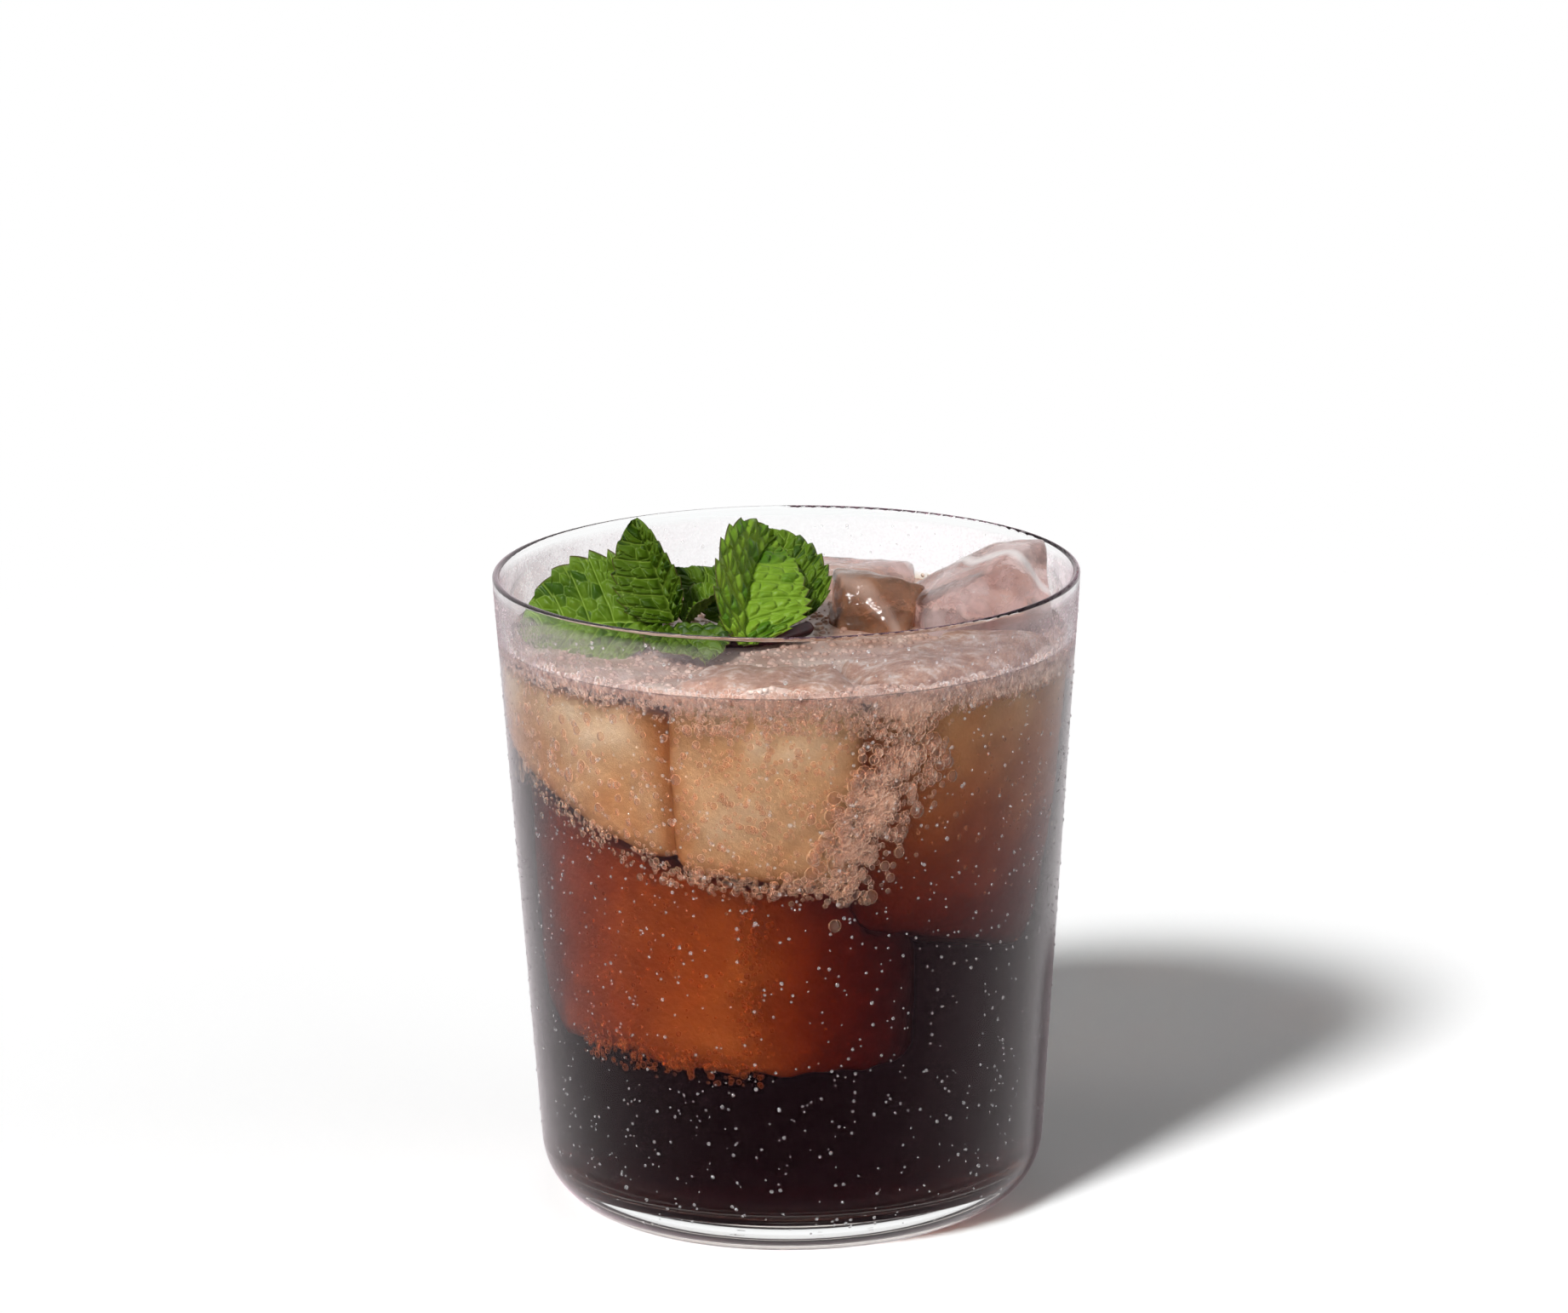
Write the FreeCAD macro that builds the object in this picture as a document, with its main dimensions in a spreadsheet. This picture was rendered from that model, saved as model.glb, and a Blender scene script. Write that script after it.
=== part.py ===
import FreeCAD, Part
import math
import os
import Sketcher

# Sparkling espresso in a tumbler: a tapered glass with a thick foot, the drink up to its level,
# the pieces of ice that stand out of it, and a sprig of mint lying on top.
# Millimetres, +Z up, origin at the middle of the foot, on the surface that the glass stands on.

doc = FreeCAD.newDocument("SparklingEspresso")

# ---------------------------------------------------------------- driving dimensions
GLASS = {
    "rim_radius": 43.0,       # outside, at the rim
    "tall": 95.0,             # foot to rim
    "foot_radius": 36.6,      # outside wall line carried down to the table
    "foot_round": 10.0,       # outer bottom edge
    "rim_wall": 1.0,
    "foot_wall": 1.8,         # wall beside the glass floor
    "floor_thick": 6.0,
    "floor_round": 5.0,       # inner bottom edge
    "level_drop": 10.2,       # rim down to the drink's surface
    "drink_gap": 0.1,         # drink to glass
    "wall_gap": 0.4,          # ice to glass, at the least
    "ice_gap": 0.8,           # ice to glass, as placed
    "headroom": 30.0,         # clear space above the rim that the toppings may use
}
STEM = {
    "stem_radius": 1.1,
    "stem_sink": 0.3,         # how far the stem dips into the drink at its bend
    "leaf_thick": 0.6,
    "tip_gap": 3.2,           # tip of the left leaf to the wall
}

# Ice that stands out of the drink. size: wide (along the wall), deep (towards the middle), high.
# place: degrees round from +X, then "wall" for a piece against the wall or its distance from the
# middle. stand: top above the drink's surface. turn: about its own axes. slope: rise of its top.
ICE = {
    "ice_right": {"size": (17.0, 20.0, 17.0), "round": 10.0, "reach": "wall", "stand": 11.7,
                  "turn": 0.0, "tilt": 0.0, "slope": 0.27},
    "ice_middle": {"size": (12.0, 13.5, 14.0), "round": 28.0, "reach": 15.3, "stand": 7.6,
                   "turn": -48.0, "tilt": 6.0, "slope": 0.22},
    "ice_back": {"size": (20.0, 13.0, 12.0), "round": 75.0, "reach": "wall", "stand": 3.4,
                 "turn": 0.0, "tilt": 12.0, "slope": 0.0},
    "ice_front_middle": {"size": (25.0, 15.0, 32.0), "round": 265.0, "reach": "wall", "stand": 3.6,
                         "turn": 0.0, "tilt": 6.0, "slope": 0.08},
    "ice_front_right": {"size": (24.0, 20.0, 38.0), "round": 326.0, "reach": "wall", "stand": 4.2,
                        "turn": 0.0, "tilt": 0.0, "slope": 0.06},
}
ICE_SIDES = ("wide", "deep", "high")

# Mint leaves. node: point of the stem that carries it. axis: where the midrib sets out to.
# face: where the upper side looks. curl: backward bend, sweep: sideways bend, fold: lift of each
# half out of flat, all in degrees.
LEAVES = {
    "mint_leaf_left": {"size": (21.3, 22.5), "node": "end", "shift": (-1.2, -0.6, 1.8),
                       "axis": (-1.0, 0.05, 0.0), "face": (0.0, -0.74, 0.70), "curl": 12, "sweep": 0,
                       "fold": 22},
    "mint_leaf_upright": {"size": (16.0, 14.5), "node": "end", "shift": (0.6, -1.2, 2.0),
                          "axis": (-0.36, 0.25, 1.0), "face": (-0.55, -1.0, 0.2), "curl": -6,
                          "sweep": 0, "fold": 38},
    "mint_leaf_behind": {"size": (18.0, 11.0), "node": "fork", "shift": (-1.0, 1.6, 1.0),
                         "axis": (-0.85, 0.42, 0.42), "face": (0.45, -0.85, 0.6), "curl": 6,
                         "sweep": 0, "fold": 10},
    "mint_leaf_inner": {"size": (8.0, 8.0), "node": "end", "shift": (1.9, -0.6, 1.5),
                        "axis": (0.85, 0.1, 0.75), "face": (-0.6, -0.25, 0.7), "curl": 0,
                        "sweep": 0, "fold": 35},
    "mint_leaf_front": {"size": (14.5, 14.0), "node": "end", "shift": (0.3, -2.0, 1.0),
                        "axis": (0.30, -0.85, 0.0), "face": (0.0, -0.15, 1.0), "curl": 12,
                        "sweep": 0, "fold": 8},
    "mint_leaf_tall": {"size": (21.5, 20.0), "node": "bend", "shift": (0.9, -1.7, 0.6),
                       "axis": (-0.10, 0.50, 1.0), "face": (0.70, -1.0, 0.4), "curl": 25,
                       "sweep": 58, "fold": 30},
    "mint_leaf_right": {"size": (15.5, 13.0), "node": "tip", "shift": (0.0, 1.2, 1.6),
                        "axis": (-0.48, 0.45, 0.8), "face": (0.45, -1.0, 0.35), "curl": 10,
                        "sweep": 0, "fold": 10},
}
STEM_END_Y = -5.0             # the end where most leaves sit, in front of the glass's middle
STEM_BEND = (10.0, -4.5)      # plan, from that end to the bend
STEM_TIP = (10.3, 7.0)        # plan, from the bend to the cut tip
STEM_RISE = 1.2               # both ends above the bend
STEM_FORK = 0.6               # where a leaf leaves the stem between its bend and its tip

# shape of the surfaces, the same for every piece of a kind
RIM_ROUND = 0.49              # rounding of each rim edge, share of the rim's wall
ICE_CORNER = 6.0              # power of the rounded block: 2 is a ball, large is a sharp box
ICE_RINGS = 9                 # rings of facets from bottom to top
ICE_SEGMENTS = 24             # facets round a ring
ICE_UNEVEN = 0.025            # share of its size by which a surface wanders
LEAF_ROWS = 24                # facets along a leaf
LEAF_HALF_COLUMNS = 3         # facets across each half
LEAF_TEETH = 8                # saw teeth along each margin
LEAF_TOOTH = 0.12             # depth of a tooth, share of the half width
LEAF_END = 0.01               # the margin's first station, so that neither end is a bare point
LEAF_LEAN = 0.8               # under 1 puts the widest place nearer to the leaf's foot
LEAF_FULL = 0.65              # under 1 makes the outline fuller than a sine
STEM_SEGMENTS = 12


# ---------------------------------------------------------------- the sheet of sizes
sheet = doc.addObject("Spreadsheet::Sheet", "Sizes")
sheet_rows = []


def keep(alias, value):
    """Write one driving dimension on the next row of the sheet."""
    sheet_rows.append(alias)
    row = str(len(sheet_rows))
    sheet.set("A" + row, alias)
    sheet.set("B" + row, str(value))
    sheet.setAlias("B" + row, alias)


def size(alias):
    """Read one driving dimension back from the sheet."""
    return float(sheet.get(alias))


for alias, value in {**GLASS, **STEM}.items():
    keep(alias, value)
for name, ice in ICE.items():
    for side, value in zip(ICE_SIDES, ice["size"]):
        keep(name + "_" + side, value)
for name, leaf in LEAVES.items():
    keep(name + "_long", leaf["size"][0])
    keep(name + "_broad", leaf["size"][1])
doc.recompute()

# radii that follow from the driving dimensions, as expressions for the sketches
TAPER = "(Sizes.rim_radius - Sizes.foot_radius) / Sizes.tall"
FLOOR_RADIUS = f"Sizes.foot_radius + {TAPER} * Sizes.floor_thick - Sizes.foot_wall"
MOUTH_RADIUS = "(Sizes.rim_radius - Sizes.rim_wall)"
INNER_TAPER = f"({MOUTH_RADIUS} - ({FLOOR_RADIUS})) / (Sizes.tall - Sizes.floor_thick)"
LEVEL = "(Sizes.tall - Sizes.level_drop)"


def inner_radius(height):
    """Radius of the inside wall at a height above the table."""
    taper = (size("rim_radius") - size("foot_radius")) / size("tall")
    floor = size("foot_radius") + taper * size("floor_thick") - size("foot_wall")
    mouth = size("rim_radius") - size("rim_wall")
    rise = (height - size("floor_thick")) / (size("tall") - size("floor_thick"))
    return floor + (mouth - floor) * rise


level = size("tall") - size("level_drop")


# ---------------------------------------------------------------- turned pieces: glass and drink
def turned_body(label, corners):
    """A body turned about Z from a closed outline; corners are (radius, height) expressions, and
    None puts the corner on the axis or on the table."""
    body = doc.addObject("PartDesign::Body", label)
    body.Label = label
    sketch = body.newObject("Sketcher::SketchObject", label + "_outline")
    planes = {feature.Role: feature for feature in body.Origin.OriginFeatures}
    sketch.AttachmentSupport = [(planes["XZ_Plane"], "")]
    sketch.MapMode = "FlatFace"
    spread = size("rim_radius")
    start = [(spread * (0.5 + 0.1 * i) if r else 0.0, spread * 0.2 * i if h else 0.0)
             for i, (r, h) in enumerate(corners)]
    for i, (x, y) in enumerate(start):
        nx, ny = start[(i + 1) % len(start)]
        sketch.addGeometry(Part.LineSegment(FreeCAD.Vector(x, y, 0), FreeCAD.Vector(nx, ny, 0)), False)
    for i in range(len(corners)):
        sketch.addConstraint(Sketcher.Constraint("Coincident", i, 2, (i + 1) % len(corners), 1))
    for i, (r, h) in enumerate(corners):
        for kind, expression, axis in (("DistanceX", r, -2), ("DistanceY", h, -1)):
            if expression is None:
                sketch.addConstraint(Sketcher.Constraint("PointOnObject", i, 1, axis))
                continue
            start_value = start[i][0] if kind == "DistanceX" else start[i][1]
            row = sketch.addConstraint(Sketcher.Constraint(kind, -1, 1, i, 1, start_value + 1.0))
            sketch.setExpression(f"Constraints[{row}]", expression)
    turn = body.newObject("PartDesign::Revolution", label + "_turned")
    turn.Profile = sketch
    turn.ReferenceAxis = (sketch, ["V_Axis"])
    turn.Angle = 360.0
    doc.recompute()
    return body


def round_edges(body, label, radius_expression, places):
    """Round the circular edges of a body at the given (radius, height) places."""
    base = body.Tip
    names = []
    for number, edge in enumerate(base.Shape.Edges, start=1):
        if not isinstance(edge.Curve, Part.Circle):
            continue
        for radius, height in places:
            if abs(edge.Curve.Radius - radius) < 0.01 and abs(edge.Curve.Center.z - height) < 0.01:
                names.append(f"Edge{number}")
    fillet = body.newObject("PartDesign::Fillet", label)
    fillet.Base = (base, names)
    fillet.setExpression("Radius", radius_expression)
    doc.recompute()


def make_glass():
    """Tapered tumbler, thin at the rim, with a thick clear floor."""
    body = turned_body("glass", [
        (None, None),
        ("Sizes.foot_radius", None),
        ("Sizes.rim_radius", "Sizes.tall"),
        (MOUTH_RADIUS, "Sizes.tall"),
        (FLOOR_RADIUS, "Sizes.floor_thick"),
        (None, "Sizes.floor_thick"),
    ])
    round_edges(body, "glass_foot_round", "Sizes.foot_round", [(size("foot_radius"), 0.0)])
    round_edges(body, "glass_floor_round", "Sizes.floor_round",
                [(inner_radius(size("floor_thick")), size("floor_thick"))])
    round_edges(body, "glass_rim_round", f"Sizes.rim_wall * {RIM_ROUND}",
                [(size("rim_radius"), size("tall")), (size("rim_radius") - size("rim_wall"), size("tall"))])
    return body


def make_drink_fill():
    """The inside of the glass up to the level, drink_gap smaller all round."""
    gap = "Sizes.drink_gap"
    level_radius = f"{FLOOR_RADIUS} + {INNER_TAPER} * ({LEVEL} - Sizes.floor_thick) - {gap}"
    bottom = size("floor_thick") + size("drink_gap")
    bottom_radius = inner_radius(size("floor_thick")) - size("drink_gap")
    body = turned_body("drink_fill", [
        (None, f"Sizes.floor_thick + {gap}"),
        (f"{FLOOR_RADIUS} - {gap}", f"Sizes.floor_thick + {gap}"),
        (level_radius, LEVEL),
        (None, LEVEL),
    ])
    round_edges(body, "drink_round", f"Sizes.floor_round - {gap}", [(bottom_radius, bottom)])
    return body


# ---------------------------------------------------------------- faceted pieces: ice and mint
def faceted(name, points, triangles):
    """A closed solid of flat triangles."""
    shell = Part.Shape()
    shell.makeShapeFromMesh((points, triangles), 0.001)
    piece = doc.addObject("Part::Feature", name)
    piece.Label = name
    piece.Shape = Part.makeSolid(shell)
    return piece


def closed_rings(rings, first, last):
    """Points and triangles of a skin through equal rings of points, closed at both ends. Seen
    from the last ring, each ring runs anticlockwise, so that the triangles face outwards."""
    count = len(rings[0])
    points = [first] + [p for ring in rings for p in ring] + [last]
    end = len(points) - 1
    triangles = []
    for j in range(count):
        k = (j + 1) % count
        triangles.append((0, 1 + k, 1 + j))
        for i in range(len(rings) - 1):
            low, high = 1 + i * count, 1 + (i + 1) * count
            triangles.append((low + j, low + k, high + k))
            triangles.append((low + j, high + k, high + j))
        top = 1 + (len(rings) - 1) * count
        triangles.append((top + j, top + k, end))
    return points, triangles


def make_ice(name):
    """A block with rounded corners and an uneven surface, its back against the wall or at its own
    distance from the middle, with its top standing above the drink."""
    ice = ICE[name]
    wide, deep, high = (size(f"{name}_{side}") for side in ICE_SIDES)
    middle_z = level + ice["stand"] - high / 2
    wall = inner_radius(max(middle_z - high / 2, size("floor_thick"))) - size("ice_gap")
    if ice["reach"] == "wall":
        reach = math.sqrt(wall ** 2 - (wide / 2) ** 2) - deep / 2
    else:
        reach = ice["reach"]

    def surface(across, up):
        """Direction (cos, sin) scaled to the rounded block, its radius wandering a little."""
        x, y, z = math.cos(up) * math.cos(across), math.cos(up) * math.sin(across), math.sin(up)
        block = (abs(x) ** ICE_CORNER + abs(y) ** ICE_CORNER + abs(z) ** ICE_CORNER) ** (-1 / ICE_CORNER)
        wander = 1 - ICE_UNEVEN * (1 + math.sin(3 * across + ice["round"]) * math.cos(5 * up + wide))
        x, y, z = (block * wander * v for v in (x, y, z))
        point = FreeCAD.Vector(x * deep / 2, y * wide / 2, z * high / 2)
        return point + FreeCAD.Vector(0, 0, ice["slope"] * point.x)

    rings = []
    for i in range(1, ICE_RINGS):
        up = math.pi * (i / ICE_RINGS - 0.5)
        rings.append([surface(2 * math.pi * j / ICE_SEGMENTS, up) for j in range(ICE_SEGMENTS)])
    points, triangles = closed_rings(rings, surface(0, -math.pi / 2), surface(0, math.pi / 2))
    rough = faceted(name + "_rough", points, triangles)
    bearing = math.radians(ice["round"])
    place = FreeCAD.Vector(reach * math.cos(bearing), reach * math.sin(bearing), middle_z)
    spin = FreeCAD.Rotation(ice["round"] + ice["turn"], 0, ice["tilt"])
    rough.Placement = FreeCAD.Placement(place, spin)
    return rough


def leaf_grid(name, thick):
    """Upper and lower skins of a leaf as rows of points from its foot to its tip. The midrib is
    an arc that bends back by curl and sideways by sweep; each half runs straight out from it,
    lifted by fold, to an egg-shaped margin with saw teeth."""
    leaf = LEAVES[name]
    length, broad = size(name + "_long"), size(name + "_broad")
    fold = math.radians(leaf["fold"])
    spine = FreeCAD.Vector(0, 0, 0)
    step = length / LEAF_ROWS
    rows = []
    for i in range(LEAF_ROWS + 1):
        s = i / LEAF_ROWS
        back, side = math.radians(leaf["curl"]) * s, math.radians(leaf["sweep"]) * s
        along = FreeCAD.Vector(math.cos(back) * math.cos(side), -math.cos(back) * math.sin(side),
                               -math.sin(back))
        across = FreeCAD.Vector(math.sin(side), math.cos(side), 0)
        upward = along.cross(across)
        station = min(max(s, LEAF_END), 1 - LEAF_END)
        egg = math.sin(math.pi * station ** LEAF_LEAN) ** LEAF_FULL
        saw = (s * LEAF_TEETH) % 1.0
        half = broad / 2 * egg * (1 - LEAF_TOOTH * (1 - saw))
        upper, lower = [], []
        for j in range(-LEAF_HALF_COLUMNS, LEAF_HALF_COLUMNS + 1):
            t = j / LEAF_HALF_COLUMNS
            out = half * t * math.cos(fold)
            lift = half * abs(t) * math.sin(fold)
            middle = spine + across * out + upward * lift
            upper.append(middle + upward * (thick / 2))
            lower.append(middle - upward * (thick / 2))
        rows.append(lower + upper[::-1])
        spine = spine + along * step
    return rows


def make_leaf(name, stem_nodes):
    """A leaf as a thin closed solid on its node of the stem."""
    leaf = LEAVES[name]
    rows = leaf_grid(name, size("leaf_thick"))
    foot = sum(rows[0], FreeCAD.Vector()) * (1 / len(rows[0]))
    tip = sum(rows[-1], FreeCAD.Vector()) * (1 / len(rows[-1]))
    points, triangles = closed_rings(rows, foot, tip)
    piece = faceted(name, points, triangles)
    axis = FreeCAD.Vector(*leaf["axis"]).normalize()
    face = FreeCAD.Vector(*leaf["face"])
    face = (face - axis * face.dot(axis)).normalize()
    across = face.cross(axis)
    turn = FreeCAD.Rotation(axis, across, face, "XYZ")
    piece.Placement = FreeCAD.Placement(stem_nodes[leaf["node"]] + FreeCAD.Vector(*leaf["shift"]), turn)
    return piece


def stem_points():
    """The points of the bent stem: the end under the left leaf, the bend, the cut tip, the fork."""
    end_height = level + size("stem_radius") - size("stem_sink") + STEM_RISE
    end_x = -(inner_radius(end_height) - size("tip_gap") - size("mint_leaf_left_long"))
    end = FreeCAD.Vector(end_x, STEM_END_Y, end_height)
    bend = end + FreeCAD.Vector(STEM_BEND[0], STEM_BEND[1], -STEM_RISE)
    tip = bend + FreeCAD.Vector(STEM_TIP[0], STEM_TIP[1], STEM_RISE)
    return {"end": end, "bend": bend, "tip": tip, "fork": bend + (tip - bend) * STEM_FORK}


def make_stem(nodes):
    """A thin round stem, mitred at its bend."""
    first = (nodes["bend"] - nodes["end"]).normalize()
    second = (nodes["tip"] - nodes["bend"]).normalize()
    middle = (first + second).normalize()
    rings = []
    for centre, normal in ((nodes["end"], first), (nodes["bend"], middle), (nodes["tip"], second)):
        side = normal.cross(FreeCAD.Vector(0, 0, 1)).normalize()
        under = normal.cross(side)
        ring = []
        for j in range(STEM_SEGMENTS):
            angle = 2 * math.pi * j / STEM_SEGMENTS
            spoke = side * math.cos(angle) + under * math.sin(angle)
            ring.append(centre + spoke * size("stem_radius"))
        rings.append(ring)
    points, triangles = closed_rings(rings, nodes["end"], nodes["tip"])
    return faceted("mint_stem", points, triangles)


# ---------------------------------------------------------------- the room for the toppings
def make_room():
    """The inside of the glass, wall_gap smaller, carried straight up past the rim."""
    room = doc.addObject("Part::Cone", "room")
    room.setExpression("Radius1", f"{FLOOR_RADIUS} - Sizes.wall_gap")
    room.setExpression("Height", "Sizes.tall - Sizes.floor_thick + Sizes.headroom")
    room.setExpression("Radius2", f"{MOUTH_RADIUS} + {INNER_TAPER} * Sizes.headroom - Sizes.wall_gap")
    room.Placement.Base = FreeCAD.Vector(0, 0, size("floor_thick"))
    return room


def boolean(kind, name, base, tool):
    """A Part boolean as an object of the document."""
    result = doc.addObject(kind, name)
    result.Base = base
    result.Tool = tool
    doc.recompute()
    return result


def cut_round(label, piece, others):
    """The piece, cut round each of the others that its own box meets."""
    for other in others:
        if piece.Shape.BoundBox.intersect(other.Shape.BoundBox):
            piece = boolean("Part::Cut", f"{label}_round_{other.Label}", piece, other)
    piece.Label = label
    return piece


# ---------------------------------------------------------------- build
glass = make_glass()
room = make_room()
nodes = stem_points()
sprig = [make_stem(nodes)] + [make_leaf(name, nodes) for name in LEAVES]
doc.recompute()
ices = []
for name in ICE:
    inside = boolean("Part::Common", name + "_inside", make_ice(name), room)
    ices.append(cut_round(name, inside, sprig + ices))
drink = cut_round("drink", make_drink_fill(), sprig + ices)
parts = [glass, drink] + ices + sprig

# ---------------------------------------------------------------- check and write
for item in doc.Objects:
    if "Invalid" in item.State or "Error" in item.State:
        raise RuntimeError(f"{item.Label} failed: {item.State}")
for part in parts:
    sound = not part.Shape.isNull() and part.Shape.isValid() and part.Shape.Volume > 0
    if not sound or len(part.Shape.Solids) != 1:
        raise RuntimeError(f"{part.Label} is not one sound solid")
os.makedirs("parts", exist_ok=True)
for part in parts:
    part.Shape.exportStep(f"parts/{part.Label}.step")
    box = part.Shape.BoundBox
    print(f"{part.Label:20s} {part.Shape.Volume:10.1f} mm3  z {box.ZMin:6.1f} to {box.ZMax:6.1f}")
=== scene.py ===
import math

import bpy
import numpy as np
from mathutils import Matrix, Vector


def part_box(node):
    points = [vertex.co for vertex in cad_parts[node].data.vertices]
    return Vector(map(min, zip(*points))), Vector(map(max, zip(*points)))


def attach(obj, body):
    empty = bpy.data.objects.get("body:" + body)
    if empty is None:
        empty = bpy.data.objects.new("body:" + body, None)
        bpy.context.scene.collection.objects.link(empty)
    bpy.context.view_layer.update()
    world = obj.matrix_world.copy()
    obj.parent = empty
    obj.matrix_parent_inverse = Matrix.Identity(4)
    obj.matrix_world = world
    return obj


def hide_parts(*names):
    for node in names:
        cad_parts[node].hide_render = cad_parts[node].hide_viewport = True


# The looks of a sparkling espresso in a tumbler: clear glass fogged and beaded with droplets, dark
# coffee with ice and bubbles in it, and a sprig of mint. Sizes are in millimetres until mesh_piece
# puts them into a mesh in metres. +Z up, origin at the middle of the glass's foot.

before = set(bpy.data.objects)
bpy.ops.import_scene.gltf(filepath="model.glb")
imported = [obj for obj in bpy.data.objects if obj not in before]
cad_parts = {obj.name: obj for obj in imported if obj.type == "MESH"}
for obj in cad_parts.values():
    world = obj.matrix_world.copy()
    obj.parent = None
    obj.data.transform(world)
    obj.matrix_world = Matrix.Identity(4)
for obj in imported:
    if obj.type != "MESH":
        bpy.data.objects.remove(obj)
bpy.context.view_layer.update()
MM = 0.001


# ---------------------------------------------------------------- sizes, as in the solid model
GLASS_HIGH = np.array(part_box("glass")[1]) / MM
DRINK_HIGH = np.array(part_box("drink")[1]) / MM
FOOT_RADIUS, FOOT_ROUND = 36.6, 10.0    # outside wall line carried down to the table; its rounding
TALL, RIM_ROUND = float(GLASS_HIGH[2]), 0.49
# The box is as wide as the wall is just under the rim's rounding; the wall line goes on to the rim.
RIM_RADIUS = FOOT_RADIUS + (float(GLASS_HIGH[0]) - FOOT_RADIUS) * TALL / (TALL - RIM_ROUND)
RIM_WALL, FOOT_WALL = 1.0, 1.8
FLOOR_THICK, FLOOR_ROUND = 6.0, 5.0
LEVEL = float(DRINK_HIGH[2])
INTO_WALL = 0.12              # the drink reaches this far into the glass, so that no air shows
INTO_ICE = 0.10               # and this far into each piece of ice
OUTER_TAPER = (RIM_RADIUS - FOOT_RADIUS) / TALL
INNER_FLOOR = FOOT_RADIUS + OUTER_TAPER * FLOOR_THICK - FOOT_WALL
INNER_MOUTH = RIM_RADIUS - RIM_WALL


def outer_radius(z):
    """Outside of the glass at a height: a straight taper from foot to rim."""
    return FOOT_RADIUS + OUTER_TAPER * z


def inner_radius(z):
    """Inside of the glass at a height: a straight taper from its floor to its mouth."""
    return INNER_FLOOR + (INNER_MOUTH - INNER_FLOOR) * (z - FLOOR_THICK) / (TALL - FLOOR_THICK)


# ---------------------------------------------------------------- colours and shader nodes
def linear(code):
    """Linear RGBA of an sRGB hex colour."""
    channels = [int(code[i:i + 2], 16) / 255 for i in (1, 3, 5)]
    return (*[c / 12.92 if c <= 0.04045 else ((c + 0.055) / 1.055) ** 2.4 for c in channels], 1.0)


def add(tree, kind, settings=None, inputs=None):
    """A node with its settings, its inputs set or linked, whichever their value is."""
    node = tree.nodes.new(kind)
    for name, value in (settings or {}).items():
        setattr(node, name, value)
    for name, value in (inputs or {}).items():
        if isinstance(value, bpy.types.NodeSocket):
            tree.links.new(value, node.inputs[name])
        else:
            node.inputs[name].default_value = value
    return node


def material(name):
    """An empty material with its output node; returns both and the tree."""
    made = bpy.data.materials.new(name)
    made.use_nodes = True
    made.node_tree.nodes.clear()
    output = add(made.node_tree, "ShaderNodeOutputMaterial")
    return made, made.node_tree, output


def ramp(tree, factor, stops):
    """A colour ramp on factor; stops are (position, hex colour or grey value)."""
    node = add(tree, "ShaderNodeValToRGB", inputs={"Fac": factor})
    elements = node.color_ramp.elements
    while len(elements) < len(stops):
        elements.new(0.5)
    for element, (position, value) in zip(elements, stops):
        element.position = position
        element.color = linear(value) if isinstance(value, str) else grey(value)
    return node.outputs["Color"]


def noise(tree, size_mm, detail=2.0, roughness=0.5):
    """Noise on object coordinates whose lumps are about size_mm across."""
    place = add(tree, "ShaderNodeTexCoord").outputs["Object"]
    return add(tree, "ShaderNodeTexNoise", inputs={
        "Vector": place, "Scale": 1 / (size_mm * MM), "Detail": detail, "Roughness": roughness,
    }).outputs["Fac"]


def grey(value):
    """A neutral linear RGBA."""
    return (value, value, value, 1.0)


def mixed(tree, factor, first, second):
    """A colour that goes from first to second as factor goes from 0 to 1."""
    return add(tree, "ShaderNodeMix", {"data_type": "RGBA"}, {
        "Factor": factor, "A": first, "B": second}).outputs["Result"]


def reckoned(tree, operation, *values):
    """The result of one step of arithmetic on numbers or sockets, given in order."""
    return add(tree, "ShaderNodeMath", {"operation": operation}, dict(enumerate(values))).outputs[0]


def marked(tree, label):
    """The number that a mesh carries at its points under a label."""
    return add(tree, "ShaderNodeAttribute", {"attribute_name": label}).outputs["Fac"]


def lets_light_through(tree, surface, tint):
    """Mix of a clear surface with Transparent for shadow rays, so that lamps light what is inside."""
    shadow = add(tree, "ShaderNodeLightPath").outputs["Is Shadow Ray"]
    clear = add(tree, "ShaderNodeBsdfTransparent", inputs={"Color": linear(tint)})
    return add(tree, "ShaderNodeMixShader", inputs={0: shadow, 1: surface, 2: clear.outputs[0]}).outputs[0]


def make_glass_material():
    """Soda-lime glass, fire polished: colourless, mirror sharp at its edges, with the dull rosy
    sheen of a cold glass where it turns away. Its face-on reflection is held low, so that the white
    table in it doesn't grey the dark drink."""
    made, tree, output = material("soda_lime_glass")
    surface = add(tree, "ShaderNodeBsdfPrincipled", inputs={
        "Base Color": linear("#fbfcfc"), "Roughness": 0.0, "IOR": 1.5, "Transmission Weight": 1.0,
        "Specular Tint": (0.09, 0.03, 0.045, 1.0), "Sheen Weight": 1.0, "Sheen Roughness": 0.3,
        "Sheen Tint": linear("#b08c9c"),
    })
    tree.links.new(lets_light_through(tree, surface.outputs[0], "#f4f6f6"), output.inputs["Surface"])
    return made


def make_coffee_material():
    """Sparkling coffee: clear liquid that soaks up blue, then green, then red, so that a millimetre
    is tan, three are orange, six are dark red and more is near black. Most of its skin lies against
    glass, where water mirrors a small part of what it does in air, here a rosy one."""
    made, tree, output = material("sparkling_coffee")
    surface = add(tree, "ShaderNodeBsdfPrincipled", inputs={
        "Base Color": (1, 1, 1, 1), "Roughness": 0.0, "IOR": 1.33, "Transmission Weight": 1.0,
        "Specular Tint": (0.10, 0.02, 0.035, 1.0),
    })
    tree.links.new(lets_light_through(tree, surface.outputs[0], "#b8b8b8"), output.inputs["Surface"])
    depth = add(tree, "ShaderNodeVolumeAbsorption", inputs={
        "Color": (0.772, 0.465, 0.14, 1.0), "Density": 560.0,
    })
    tree.links.new(depth.outputs[0], output.inputs["Volume"])
    return made


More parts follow.
